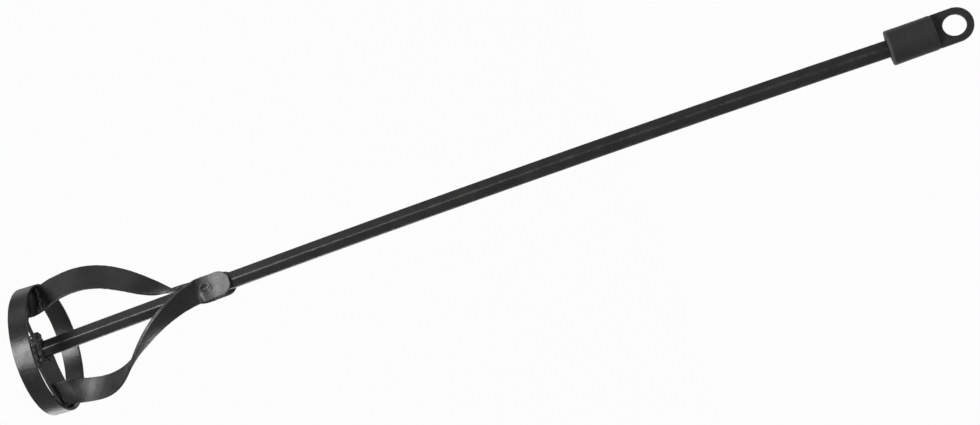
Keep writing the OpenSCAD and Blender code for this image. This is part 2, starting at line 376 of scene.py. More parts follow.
def build_bar():
    profile = strip_profile(BAR_W, BAR_T, radius=0.45, wide_steps=56)
    rings, edges = [], []
    for i in range(BAR_STEPS + 1):
        share = -1 + 2 * i / BAR_STEPS
        ring = []
        for x, y, edge in profile:
            # the ends follow the inside of the ring
            along = math.sqrt((RING_IN + 0.02) ** 2 - (x * 0.93) ** 2) * share
            across = bar_across(along)
            normal = unit(np.cross(BAR_ALONG, across))
            p = bar_centre(along) + across * x + normal * y
            dent = wobble(p, 5.0, 3.1) * 0.05 + wobble(p, 1.6, 8.0) * 0.025
            p = p + normal * dent * sign(y > 0)
            if edge >= 1:
                p = p + across * sign(x > 0) * 0.05 * wobble((along * 2.0, y, x), 1.3, 5.0)
            upper = edge < 0.5 and normal[2] * y > 0
            mark = scratch(along, x) if upper else 0.0
            ring.append(p - normal * math.copysign(SCRATCH_DEPTH * mark, y))
            edges.append(max(edge, mark))
        rings.append(ring)
    # painted highlight: the two end-face centres get half the edge mask, so the bar's end faces
    # come out lighter
    return make_mesh("cross_bar_strip", tube(rings), edges + [0.5, 0.5])


# ---------------------------------------------------------------- blades
OUT = np.array([-math.sin(rad(TURN)), -math.cos(rad(TURN)), 0])      # away from the shaft
TONGUE_ACROSS = np.array([math.cos(rad(TURN)), -math.sin(rad(TURN)), 0])
TONGUE_XY = OUT * (CORNER_R + BLADE_T / 2 - 0.25)
LEAVE_Z = 114.0              # the curve leaves the straight tongue here
EASE_Z = 124.0               # the tongue begins to lift off the shaft here
FOOT_ALONG, FOOT_ACROSS = 29.4, -2.5     # where the blade's foot stands on the bar
FOOT_SKEW = 18.0
FOOT = bar_point(FOOT_ALONG, FOOT_ACROSS, BAR_T / 2 + 0.1)
FOOT_TWIST = 180 + BAR_HEAD + FOOT_SKEW + TURN
# free control points of each blade's centre line, from the top down
BELLY = {"front": [[3.9, -67.4, 49.5], [65.5, 36.2, 67.5], [26.4, -15.1, 15.4]],
         "rear": [[-0.2, -69.1, 39.3], [62.4, 40.6, 86.3], [24.6, -19.5, 6.1]]}
CENTRE_LINE = {side: [TONGUE_XY + UP * LEAVE_Z, TONGUE_XY + UP * (LEAVE_Z - 2), *BELLY[side],
                      FOOT] for side in SIDES}
# heading of the blade's width at each control point, degrees
TWIST = {"front": [0, 82.7, 24.2, 210.7, 115.7, FOOT_TWIST],
         "rear": [0, -33.8, 291.5, 175.6, 107.9, FOOT_TWIST]}
TOP_STEPS, BEND_STEPS, CURVE_STEPS = 34, 26, 300
TONGUE_STEP = 0.42
CURVE_START = 5 / 56         # share of the curve taken up by the eased bend
TOP_SOFT = 0.55              # depth over which the top end thins
RIM_SOFT = 0.5               # width of the rounded edges


def blade_frame(side, u):
    """Centre, width direction, outward normal and tangent at share u of the curve."""
    points = np.array(CENTRE_LINE[side], float)
    tangent = unit(bezier(points[1:] - points[:-1], u))
    angle = rad(float(bezier(TWIST[side], u)) - TURN)
    across = np.array([math.cos(angle), math.sin(angle), 0])
    across = unit(across - (across @ tangent) * tangent)
    return bezier(points, u), across, unit(np.cross(tangent, across)), tangent


def plug_dip(dx, dz):
    """How far the tongue's outer face is pushed in (+) or raised (-) round the plug weld."""
    r = math.hypot(dx, dz * 0.92)
    dimple = 1.15 * math.exp(-(r / 1.75) ** 4)
    lip = 0.17 * math.exp(-((r - 2.75) / 0.75) ** 2)
    lip *= 1 + 0.5 * math.cos(math.atan2(dz, dx) * 3 + 1.0)
    return dimple - lip + 0.22 * math.exp(-(r / 5.2) ** 2)


def ease_off(z):
    """Offset and slope of the tongue as it lifts off the shaft's corner above the bend."""
    k = max(EASE_Z - z, 0.0) / 9.0
    return 1.1 * k * k, 2.2 * k / 9.0


def straight_sections():
    """The rounded top and the tongue: (centre, across, normal, width), and the last tangent."""
    half = BLADE_W / 2
    shoulder = TOP_Z - half
    sections = []
    for i in range(TOP_STEPS + 1):
        angle = rad(90 * (1 - i / TOP_STEPS))
        sections.append((TONGUE_XY + UP * (shoulder + half * math.sin(angle)), TONGUE_ACROSS,
                         OUT, max(2 * half * math.cos(angle), 0.9)))
    bottom = LEAVE_Z + 1.0
    steps = int((shoulder - bottom) / TONGUE_STEP)
    for i in range(1, steps + 1):
        z = shoulder + (bottom - shoulder) * i / steps
        offset, slope = ease_off(z)
        tangent = unit(-UP + OUT * slope)
        sections.append((TONGUE_XY + OUT * offset + UP * z, TONGUE_ACROSS,
                         unit(np.cross(tangent, TONGUE_ACROSS)), BLADE_W))
    return sections, tangent


def bend_sections(side, start, start_tangent):
    """Eased bend that joins the tongue to the curve."""
    end, end_across, _, end_tangent = blade_frame(side, CURVE_START)
    handle = np.linalg.norm(end - start) * 0.42
    points = [start, start + start_tangent * handle, end - end_tangent * handle, end]
    sections = []
    for i in range(1, BEND_STEPS):
        f = i / BEND_STEPS
        k = smooth(f)
        across = unit(TONGUE_ACROSS * (1 - k) + end_across * k)
        tangent = unit(start_tangent * (1 - k) + end_tangent * k)
        across = unit(across - (across @ tangent) * tangent)
        sections.append((bezier(points, f), across, unit(np.cross(tangent, across)), BLADE_W))
    return sections


def narrowed(x, width):
    """Squeeze a full-width section point to the given width, keeping its rounded edges."""
    half = BLADE_W / 2
    inset = half - abs(x)
    if inset < RIM_SOFT:
        return math.copysign(max(width / 2 - inset, 0.02), x)
    return x / (half - RIM_SOFT) * max(width / 2 - RIM_SOFT, 0.02)


def sheared_edge(run, x, y):
    """Fine ticks across the narrow side of the strip."""
    tick = 0.09 * wobble((run, y * 1.5, 4.0 if x > 0 else 9.0), 0.55, 1.7)
    tick += 0.10 * wobble((run, 0, 3.0 if x > 0 else 7.0), 2.6, 4.1)
    swell = 0.6 + 0.8 * wobble((run, 0, 1.0), 6.0, 3.0)
    return tick + 0.10 * math.sin(2 * math.pi * run / 1.15) * swell


def build_blade(side):
    sections, tangent = straight_sections()
    sections += bend_sections(side, sections[-1][0], tangent)
    curve_first = len(sections)
    for i in range(CURVE_STEPS + 1):
        u = CURVE_START + (1 - CURVE_START) * i / CURVE_STEPS
        sections.append((*blade_frame(side, u)[:3], BLADE_W))
    profile = strip_profile(BLADE_W, BLADE_T, radius=0.5, wide_steps=40)
    rings, edges = [], []
    run = 0.0
    previous = sections[0][0]
    for i, (centre, across, normal, width) in enumerate(sections):
        run += float(np.linalg.norm(centre - previous))
        previous = centre
        # thin the strip at the very top so that the end face is soft too
        depth = TOP_Z - centre[2]
        thin = 1.0
        if depth <= TOP_SOFT:
            thin = 0.62 + 0.38 * math.sqrt(max(1 - (1 - depth / TOP_SOFT) ** 2, 0))
        ring = []
        for x, y, edge in profile:
            wide = narrowed(x, width) if width < BLADE_W else x
            p = centre + across * wide + normal * y * thin
            dent = wobble(p, 11.0, 2.3) * 0.10 + wobble(p, 3.2, 6.0) * 0.03
            if i < curve_first and y > 0.3:
                dent -= plug_dip(float(wide), float(p[2] - PLUG_Z))
            p = p + normal * dent * sign(y > 0) * (1 if abs(y) > 0.4 else 0.3)
            if edge > 0.5 and i > TOP_STEPS:
                p = p + across * sign(x > 0) * sheared_edge(run, x, y)
            ring.append(p)
            edges.append(edge)
        rings.append(ring)
    shape = swayed(turned(tube(rings), side), blade_sway)
    # painted highlight: the two end-face centres get half the edge mask, so the blade's end faces
    # come out lighter
    return make_mesh(f"blade_{side}_strip", shape, edges + [0.5, 0.5])


# ---------------------------------------------------------------- ring
SEAM = rad(-41)
RING_STEPS = 900


def build_ring():
    profile = strip_profile(RING_H, RING_T, radius=0.42, wide_steps=26, side_steps=4)
    rings, edges = [], []
    for i in range(RING_STEPS):
        share = (i + 0.5) / RING_STEPS
        around = SEAM + 2 * math.pi * share
        outward = np.array([math.cos(around), math.sin(around), 0])
        # the band is not perfectly round and its two ends do not quite meet flush
        seam_gap = min(share, 1 - share) * 2 * math.pi * RING_R
        swell = 0.10 * math.sin(2 * around + 0.6) + 0.05 * math.sin(5 * around + 2.0)
        swell += (0.16 if share < 0.5 else -0.12) * math.exp(-seam_gap / 2.2)
        ring = []
        for x, y, edge in profile:
            p = outward * (RING_IN + RING_T / 2 - y) + UP * (RING_H / 2 + x)
            dent = wobble((p[0], p[1], p[2] * 1.6), 9.0, 1.0) * 0.05 + wobble(p, 2.6, 3.0) * 0.02
            if y < 0:  # outer face: a groove along the seam
                dent -= 0.35 * math.exp(-(seam_gap / 0.35) ** 2)
            p = p + outward * (swell + dent * sign(y < 0))
            if edge >= 0.9:
                p = p + UP * sign(x > 0) * 0.05 * wobble((around * RING_R, y, x), 2.0, 2.0)
            ring.append(lean(p))
            edges.append(edge)
        rings.append(ring)
    return make_mesh("ring_strip", tube(rings, closed=True), edges)


# ---------------------------------------------------------------- shaft
SHAFT_CORNER = 1.4           # rounding of the hexagon's corners
SHAFT_STEPS = 420


def build_shaft():
    reach = CORNER_R - SHAFT_CORNER / math.cos(rad(30))
    first = -90 - TURN  # a corner points to the front
    centres = [(reach * math.cos(rad(first + 60 * k)), reach * math.sin(rad(first + 60 * k)))
               for k in range(6)]
    # the rounded corners carry the edge mask, which the paint lightens partly as a painted
    # highlight along the corner lines
    outline = rounded_outline(centres, SHAFT_CORNER, start=first - 30, arc_steps=8,
                              flats=[([k / 8 for k in range(1, 8)], 0.0)])
    bottom = SHAFT_Z0 - BAR_DIP - 0.1
    heights = [bottom + rise for rise in (0, 0.12, 0.4, 1.0)]
    span = SHAFT_Z1 - 1.4 - bottom - 1.0
    heights += [bottom + 1.0 + span * i / SHAFT_STEPS for i in range(1, SHAFT_STEPS + 1)]
    heights += [SHAFT_Z1 - drop for drop in (1.0, 0.8, 0.55, 0.25, 0.06, 0)]
    rings, edges = [], []
    for z in heights:
        # both ends are bevelled
        top_bevel = max(z - (SHAFT_Z1 - 0.8), 0) * 0.95
        low_bevel = max(bottom + 0.4 - z, 0) * 0.5
        limit = CORNER_R - top_bevel - low_bevel
        ring = []
        for x, y, edge in outline:
            k = min(1.0, limit / math.hypot(x, y))
            px, py = x * k, y * k
            dent = 0.030 * wobble((px * 2, py * 2, z / 7), 2.0, 4.0)
            dent += 0.018 * wobble((px, py, z / 2), 0.9, 2.0)
            ring.append(np.array([px, py, z]) + unit(np.array([px, py, 0])) * dent)
            edges.append(edge)
        rings.append(ring)
    return make_mesh("shaft_bar", swayed(tube(rings), shaft_sway), edges + [0, 0])


# ---------------------------------------------------------------- weld metal
BEAD_STEP, BEAD_SIDES = 0.14, 26


def even_points(path, closed):
    """Evenly spaced, softened points on a path, its length and the number of steps."""
    path = np.array(path, float)
    if closed:
        path = np.vstack([path, path[:1]])
    reached = np.concatenate([[0.0], np.cumsum(np.linalg.norm(np.diff(path, axis=0), axis=1))])
    length = float(reached[-1])
    steps = int(length / BEAD_STEP)
    stops = length * np.arange(steps if closed else steps + 1) / steps
    points = np.stack([np.interp(stops, reached, path[:, k]) for k in range(3)], 1)
    for _ in range(8):
        if closed:
            points = (np.roll(points, 1, 0) + points * 2 + np.roll(points, -1, 0)) / 4
        else:
            middle = (points[:-2] + 2 * points[1:-1] + points[2:]) / 4
            points = np.vstack([points[:1], middle, points[-1:]])
    return points, length, steps


def bead(path, radius, seed, pitch, lump, normal=UP, closed=False):
    """Swept bead with fish-scale ripples, pitch apart and lump deep as a share of the radius.

    radius is a number or a function of the share of the length.
    """
    points, length, steps = even_points(path, closed)
    last = len(points) - 1
    rings = []
    for i, centre in enumerate(points):
        share = i / steps
        if closed:
            tangent = unit(points[(i + 1) % len(points)] - points[i - 1])
            ends = 1.0
        else:
            tangent = unit(points[min(i + 1, last)] - points[max(i - 1, 0)])
            ends = (1 - abs(2 * share - 1) ** 7) ** 0.5
        side = unit(np.cross(tangent, normal))
        rise = np.cross(side, tangent)
        run = length * share
        size = radius(share) if callable(radius) else radius
        phase = (run + 0.22 * math.sin(run * 1.9 + seed)) / pitch
        ring = []
        for j in range(BEAD_SIDES):
            angle = 2 * math.pi * j / BEAD_SIDES
            scale_phase = phase - 0.34 * math.cos(angle) ** 2  # the scale's curved front
            saw = scale_phase - math.floor(scale_phase)
            ripple = 0.5 - 0.5 * math.cos(2 * math.pi * saw ** 0.7)
            direction = side * math.cos(angle) + rise * math.sin(angle)
            p = centre + direction * (size * ends * (1 + lump * 0.75 * (ripple - 0.5)))
            rough = size * lump * 0.9 * wobble(p, 1.9, seed) + 0.05 * wobble(p, 0.7, seed + 3)
            ring.append(p + direction * rough * ends)
        rings.append(ring)
    return tube(rings, closed=closed)


def spatter(drops, seed):
    """Small beads of (centre, radius), half sunk in the surface."""
    def drop(centre, radius, drop_seed):
        def offset(q):
            return q * radius * (1 + 0.18 * wobble(q * 3, 1.0, drop_seed))
        return globe(centre, offset, pole=radius, around=10, down=7)
    return join([drop(centre, radius, seed + i) for i, (centre, radius) in enumerate(drops)])


def nugget(centre, radii, seed):
    """One big lump of weld metal: a dented, rippled ellipsoid."""
    def offset(q):
        p = q * np.array(radii)
        ripple = 0.03 * math.sin(7 * math.hypot(p[0] - 1, p[1]) + seed)
        return p * (1 + 0.17 * wobble(p, 2.3, seed) + 0.07 * wobble(p, 0.9, seed + 4) + ripple)
    return globe(centre, offset, pole=radii[2], around=40, down=26)


# ---------------------------------------------------------------- welds at blades and bar
def foot_weld(side, seed):
    """Beads along both faces of a blade's foot, where it stands on the bar."""
    centre, across, normal, _ = blade_frame(side, 1.0)
    inner, outer = [], []
    for i in range(23):
        x = 0.48 * BLADE_W - 0.96 * BLADE_W * i / 22
        inner.append(centre + across * x - normal * (BLADE_T / 2 + 0.05) - UP * 0.25)
        x = 0.47 * BLADE_W - 0.94 * BLADE_W * i / 22
        outer.append(centre + across * x + normal * (BLADE_T / 2 + 0.1) - UP * 0.45)
    parts = [bead(inner, 0.95, seed, pitch=1.4, lump=0.22, normal=-normal),
             bead(outer, 0.72, seed + 3, pitch=1.5, lump=0.2, normal=normal)]
    if side == "rear":
        # this foot carries a wide fillet that runs in along the bar
        fillet = []
        for i in range(17):
            along = FOOT_ALONG - 0.5 - 8.5 * i / 16
            fillet.append(bar_point(-along, -3.0 + 0.6 * i / 16, BAR_T / 2 - 0.3) * HALF_TURN)
        parts.append(bead(fillet, lambda f: 2.0 - 1.1 * f, seed + 7, pitch=1.8, lump=0.3))
    drops = []
    for i in range(5):
        along = FOOT_ALONG + (-6 + 3.1 * i) * 0.9
        across_bar = -4.6 + 0.9 * math.sin(i * 2.3 + seed)
        drops.append((bar_point(along, across_bar, BAR_T / 2),
                      0.24 + 0.08 * math.sin(i * 3 + seed)))
    parts.append(spatter(drops, seed))
    return swayed(turned(join(parts), side), blade_sway)


def rim_share(side):
    """Share of the curve at which the blade's centre comes down to the ring's upper rim."""
    low, high = 0.5, 1.0
    for _ in range(30):
        middle = (low + high) / 2
        if blade_frame(side, middle)[0][2] > RING_H - 0.3:
            low = middle
        else:
            high = middle
    return (low + high) / 2


# spatter round the rim weld: place across and along the blade, radius
RIM_DROPS = ((3.0, 2.6, 0.26), (-1.0, 3.3, 0.2), (1.2, -2.8, 0.22), (-4.4, -2.4, 0.28))


def rim_weld(side, seed):
    """Bead across a blade's outer face, level with the ring's rim."""
    centre, across, normal, tangent = blade_frame(side, rim_share(side))

    def level_point(x):
        """Point at x across the blade, slid along it to the centre's height."""
        slide = tangent * (across[2] * x / tangent[2])
        return centre + across * x - slide + normal * (BLADE_T / 2 + 0.25)

    # walk outwards until the bead reaches the ring
    end_x = -0.4 * BLADE_W
    while math.hypot(*level_point(end_x)[:2]) <= RING_IN + 0.9 and end_x >= -BLADE_W:
        end_x -= 0.1
    start_x = 0.47 * BLADE_W
    path = [level_point(start_x + (end_x - start_x) * i / 24)
            + UP * 0.55 * math.sin(i * 0.87 + seed) + normal * 0.1 * math.sin(i * 1.9)
            for i in range(25)]
    parts = [bead(path, lambda f: 0.85 + 0.5 * f, seed, pitch=1.7, lump=0.34, normal=normal)]
    # a second, shorter run where the bead meets the ring
    end = path[-1]
    around = unit(np.array([-end[1], end[0], 0]))
    second = [end * np.array([0.985, 0.985, 1]) + around * (-3.2 + 5.2 * i / 10)
              + UP * (-0.2 + 0.5 * math.sin(i)) for i in range(11)]
    parts.append(bead(second, 0.95, seed + 5, pitch=1.5, lump=0.34))
    drops = [(level_point(x) - normal * 0.2 + tangent * along, radius)
             for x, along, radius in RIM_DROPS]
    parts.append(spatter(drops, seed + 9))
    return swayed(turned(join(parts), side), blade_sway)


def bar_end_weld(side, seed):
    """Bead along the end of the bar, against the inside of the ring."""
    reach = RING_IN - 0.35
    path = []
    for i in range(23):
        x = -0.46 * BAR_W + 0.96 * BAR_W * i / 22
        p = bar_point(math.sqrt(reach * reach - x * x * 0.9), x, BAR_T / 2)
        k = reach / math.hypot(p[0], p[1])
        path.append(np.array([p[0] * k, p[1] * k, max(p[2], 1.2)]))
    return turned(bead(path, 1.0, seed, pitch=1.3, lump=0.26), side)


# ---------------------------------------------------------------- hub and seam welds
# lumps round the foot of the shaft: centre, radii, seed
HUB_NUGGETS = (
    ((-8.4, -3.1, 3.4), (3.2, 3.2, 3.2), 1.0), ((-6.0, -3.8, 3.6), (3.6, 3.4, 3.3), 2.2),
    ((-9.0, -6.6, 2.6), (2.6, 2.4, 2.3), 3.7), ((-5.4, -6.6, 1.4), (3.8, 3.4, 3.0), 3.1),
    ((-1.4, -7.8, 0.6), (3.8, 3.0, 2.5), 3.3), ((2.8, -7.9, 0.2), (3.4, 2.7, 2.2), 4.4),
    ((6.6, -7.6, -0.4), (3.4, 2.4, 1.7), 4.9), ((5.6, -5.4, 2.2), (2.0, 1.7, 1.6), 4.0),
    ((6.6, 4.4, 4.0), (2.7, 2.2, 1.7), 5.2), ((-1.0, 7.4, 3.2), (2.2, 1.8, 1.5), 6.1),
)


def build_hub_weld():
    cos, sin = math.cos(rad(BAR_HEAD)), math.sin(rad(BAR_HEAD))
    path = []
    for i in range(72):
        angle = 2 * math.pi * i / 72
        # follows the hexagon's outline, a little outside it
        from_flat = (angle + rad(BAR_HEAD + TURN) + rad(60)) % rad(60) - rad(30)
        hexagon = CORNER_R * math.cos(rad(30)) / math.cos(from_flat)
        reach = hexagon + 0.55 + 0.25 * math.sin(3 * angle + 0.7)
        along, x = reach * math.cos(angle), reach * math.sin(angle)
        across = bar_across(along)
        z = bar_centre(along)[2] + x * across[2] / math.hypot(*across[:2]) + BAR_T / 2
        path.append(np.array([along * cos - x * sin, along * sin + x * cos,
                              max(z, 0.9) + 0.05]))
    parts = [bead(path, lambda f: 1.25 + 0.25 * math.sin(f * 19) + 0.18 * math.sin(f * 43 + 1),
                  2.0, pitch=1.7, lump=0.34, closed=True)]
    parts += [nugget(centre, radii, seed) for centre, radii, seed in HUB_NUGGETS]
    drops = []
    for i in range(9):
        along = 8.5 + 2.3 * i if i < 5 else -(8.5 + 2.6 * (i - 5))
        drops.append((bar_point(along, 4.5 * math.sin(i * 2.1), BAR_T / 2),
                      0.2 + 0.1 * abs(math.sin(i * 1.3))))
    parts.append(spatter(drops, 4))
    return make_mesh("hub_weld_bead", swayed(join(parts), shaft_sway))


def build_seam_weld():
    """Bead up the inside of the ring's seam and over its upper rim."""
    cos, sin = math.cos(SEAM), math.sin(SEAM)
    inside = RING_IN - 0.1
    path = [(inside * cos, inside * sin, 0.9 + (RING_H - 0.7) * i / 14) for i in range(15)]
    path += [((RING_IN + k) * cos, (RING_IN + k) * sin, RING_H + 0.1 - 0.12 * k)
             for k in (0.2, 0.8, 1.3)]
    shape = bead(path, 1.0, 3.0, pitch=1.2, lump=0.28, normal=(-cos, -sin, 0.01))
    return make_mesh("ring_seam_bead", remap(shape, lean))


# ---------------------------------------------------------------- plug welds
PLUG_R, PLUG_BACK = 2.35, -1.9           # radius, depth of the flat back
PLUG_ROWS, PLUG_AROUND = 16, 48


def plug_height(share, angle, radius):
    """Depth of the button's face: a rippled dish with a raised lip on one side."""
    lip = 0.34 * math.exp(-((share - 0.86) / 0.16) ** 2) * (0.55 + 0.45 * math.cos(angle - 2.6))
    ripple = 0.10 * math.sin(share * 13 + 0.6 * math.sin(angle))
    grain = 0.10 * wobble((radius * math.cos(angle), radius * math.sin(angle), 0), 0.9, 6.0)
    return -0.95 + 0.55 * share ** 2.6 + ripple + lip + grain


def build_plug(side):
    """The plug weld's own skin at the bottom of the dimple in the tongue."""
    face = TONGUE_XY + OUT * (BLADE_T / 2) + UP * PLUG_Z
    rows = [(i / PLUG_ROWS, True) for i in range(1, PLUG_ROWS + 1)]
    rows += [(i / PLUG_ROWS, False) for i in range(1, PLUG_ROWS)]
    verts = []
    for share, is_face in rows:
        for j in range(PLUG_AROUND):
            angle = 2 * math.pi * j / PLUG_AROUND
            wave = 1 + 0.06 * math.sin(3 * angle + 0.5) + 0.04 * math.sin(5 * angle)
            radius = PLUG_R * share * wave
            height = plug_height(share, angle, radius) if is_face else PLUG_BACK
            rise = radius * math.sin(angle)
            lift = ease_off(PLUG_Z + rise)[0]
            verts.append(face + TONGUE_ACROSS * radius * math.cos(angle) + UP * rise
                         + OUT * (height + lift))
    # from the middle of the face out to the rim, then back in behind
    starts = [row * PLUG_AROUND for row in range(len(rows))]
    face_starts, back_starts = starts[:PLUG_ROWS], starts[PLUG_ROWS:]
    faces = bands(face_starts + back_starts[::-1], PLUG_AROUND)
    faces += fan(face_starts[0], PLUG_AROUND, len(verts))
    faces += fan(back_starts[0], PLUG_AROUND, len(verts) + 1)
    verts += [face + OUT * (-0.93 + ease_off(PLUG_Z)[0]), face + OUT * PLUG_BACK]
    return make_mesh(f"plug_button_{side}", swayed(turned((verts, faces), side), blade_sway))


# ---------------------------------------------------------------- cap
TAB_ACROSS = np.array([TAB_NORMAL[1], -TAB_NORMAL[0], 0.0])
SLEEVE_TOP = CAP_Z0 + 28.0
SLEEVE_R1 = CAP_R0 - 0.1                 # the sleeve tapers to this at its top
LOW_ROUND, TOP_ROUND = 1.0, 1.3
TAB_W = 21.1
TAB_WAIST = 0.8                          # each side is narrower by this where it meets the sleeve
BORE_R = 5.9
VOXEL = 0.33


def lathe(name, profile, around):
    """Turn (radius, z) points about the Z axis."""
    angles = [2 * math.pi * j / around for j in range(around)]
    return make_mesh(name, tube([[np.array([r * math.cos(a), r * math.sin(a), z])
                                  for a in angles] for r, z in profile]))


def sleeve():
    profile = [(CAP_R0 - 2.0, CAP_Z0)]
    for k in range(9):
        a = rad(-90 + 90 * k / 8)
        profile.append((CAP_R0 - LOW_ROUND + LOW_ROUND * math.cos(a),
                        CAP_Z0 + LOW_ROUND + LOW_ROUND * math.sin(a)))
    side_z = CAP_Z0 + LOW_ROUND
    for k in range(1, 20):
        f = k / 20
        profile.append((CAP_R0 + (SLEEVE_R1 - CAP_R0) * f - 0.12 * math.sin(math.pi * f),
                        side_z + (SLEEVE_TOP - 0.8 - side_z) * f))
    for k in range(9):
        a = rad(90 * k / 8)
        profile.append((SLEEVE_R1 - TOP_ROUND + TOP_ROUND * math.cos(a),
                        SLEEVE_TOP - TOP_ROUND + TOP_ROUND * math.sin(a)))
    return lathe("hang_cap_soft", profile, around=128)


def tab_plate():
    """Round-ended tab, extruded along its normal."""
    half = TAB_W / 2
    centre_z = CAP_Z1 - half
    bottom = SLEEVE_TOP - 3.0
    flank = []
    for k in range(12):
        z = bottom + (centre_z - bottom) * k / 12
        flank.append((half - TAB_WAIST * (1 - smooth((z - bottom) / 4.0)), z))
    outline = [(-half + TAB_WAIST, bottom), (half - TAB_WAIST, bottom)] + flank
    outline += [(half * math.cos(math.pi * k / 60), centre_z + half * math.sin(math.pi * k / 60))
                for k in range(61)]
    outline += [(-x, z) for x, z in reversed(flank)]
    verts = [TAB_ACROSS * x + TAB_NORMAL * (side * TAB_T / 2) + UP * z
             for side in (-1, 1) for x, z in outline]
    n = len(outline)
    faces = [tuple(range(n)), tuple(range(2 * n - 1, n - 1, -1))] + bands([0, n], n)
    return make_mesh("tmp_tab", (verts, faces))


def hole_cutter():
    angles = [2 * math.pi * j / 96 for j in range(96)]
    return make_mesh("tmp_hole", tube([
        [TAB_ACROSS * HOLE_R * math.cos(a) + TAB_NORMAL * (side * 6)
         + UP * (HOLE_Z + HOLE_R * math.sin(a)) for a in angles] for side in (-1, 1)]))


def bore_cutter():
    """Bore for the shaft, flared at the open end."""
    return lathe("tmp_bore", [(BORE_R + 1.6, CAP_Z0 - 1.5), (BORE_R + 1.0, CAP_Z0 - 0.2),
                              (BORE_R + 0.35, CAP_Z0 + 0.5), (BORE_R, CAP_Z0 + 1.4),
                              (BORE_R, SHAFT_Z1 + 0.4)], around=96)


def fuse_cap(body, tools):
    """Join and cut the cap, remesh it evenly and bake the result; returns the new mesh."""
    for tool, operation in tools:
        cut = body.modifiers.new(tool.name, "BOOLEAN")
        cut.operation = operation
        cut.object = tool
        cut.solver = "EXACT"
    remesh = body.modifiers.new("remesh", "REMESH")
    remesh.mode = "VOXEL"
    remesh.voxel_size = VOXEL * MM
    remesh.adaptivity = 0.0
    remesh.use_smooth_shade = True
    depsgraph = bpy.context.evaluated_depsgraph_get()
    mesh = bpy.data.meshes.new_from_object(body.evaluated_get(depsgraph))
    body.modifiers.clear()
    old = body.data
    body.data = mesh
    mesh.name = "hang_cap_soft"
    bpy.data.meshes.remove(old)
    for tool, _ in tools:
        data = tool.data
        bpy.data.objects.remove(tool)
        bpy.data.meshes.remove(data)
    return mesh


def softened(mesh):
    """Vertex places in metres after smoothing in and out, which keeps the size."""
    count = len(mesh.vertices)
    places = np.zeros(count * 3)
    mesh.vertices.foreach_get("co", places)
    places = places.reshape(-1, 3)
    ends = np.zeros(len(mesh.edges) * 2, np.int64)
    mesh.edges.foreach_get("vertices", ends)
    first, second = ends.reshape(-1, 2).T
    degree = np.bincount(ends, minlength=count).astype(float)[:, None]

    def pull(points):
        """From each point to the mean of its neighbours."""
        total = np.zeros_like(points)
        for k in range(3):
            total[:, k] = (np.bincount(first, weights=points[second, k], minlength=count)
                           + np.bincount(second, weights=points[first, k], minlength=count))
        return total / degree - points

    for _ in range(14):
        places = places + 0.55 * pull(places)
        places = places - 0.50 * pull(places)
    for _ in range(3):
        places = places + 0.4 * pull(places)
    return places


def build_cap():
    body = sleeve()
    tools = [(tab_plate(), "UNION"), (hole_cutter(), "DIFFERENCE"), (bore_cutter(), "DIFFERENCE")]
    mesh = fuse_cap(body, tools)
    p = softened(mesh) * 1000.0
    # faint mould line down the sleeve's two sides and a little unevenness
    radius = np.hypot(p[:, 0], p[:, 1])
    around = np.arctan2(p @ TAB_NORMAL, p @ TAB_ACROSS)
    on_sleeve = (p[:, 2] < SLEEVE_TOP - 0.8) & (radius > 9.0)
    line_gap = np.minimum(np.abs(around), np.abs(np.abs(around) - math.pi)) * radius
    ridge = 0.07 * np.exp(-(line_gap / 0.22) ** 2) * on_sleeve
    rough = np.array([0.06 * wobble(q, 7.0, 2.0) for q in p]) * on_sleeve
    outward = np.stack([p[:, 0], p[:, 1], 0 * radius], 1) / np.maximum(radius, 1e-6)[:, None]
    p = p + outward * (ridge + rough)[:, None]
    mesh.vertices.foreach_set("co", (p * MM).ravel())
    shade_smooth(mesh)
    # mask of the tab, which the cap's material darkens as painted shade
    point_values(mesh, "tab", smooth((p[:, 2] - SLEEVE_TOP + 0.3) / 0.8))
    # painted highlight: the rounded rim at the open end is made paler
    point_values(mesh, "lip", np.exp(-((p[:, 2] - CAP_Z0 - 0.7) / 0.8) ** 2) * (radius > 8.8))
    mesh.update()
    return body


# ---------------------------------------------------------------- shader helpers
def new_node(tree, kind, inputs, **settings):
    """Add a node; an input that is a socket is linked, any other is set."""
    node = tree.nodes.new(kind)
    for key, value in settings.items():
        setattr(node, key, value)
    feed(tree, node, inputs)
    return node


def feed(tree, node, inputs):
    for key, value in inputs.items():
        if isinstance(value, bpy.types.NodeSocket):
            tree.links.new(value, node.inputs[key])
        else:
            node.inputs[key].default_value = value


def colour(value):
    """RGBA from a grey level or an RGB tuple; a socket passes through."""
    if isinstance(value, bpy.types.NodeSocket):
        return value
    return (*value, 1) if isinstance(value, tuple) else (value, value, value, 1)


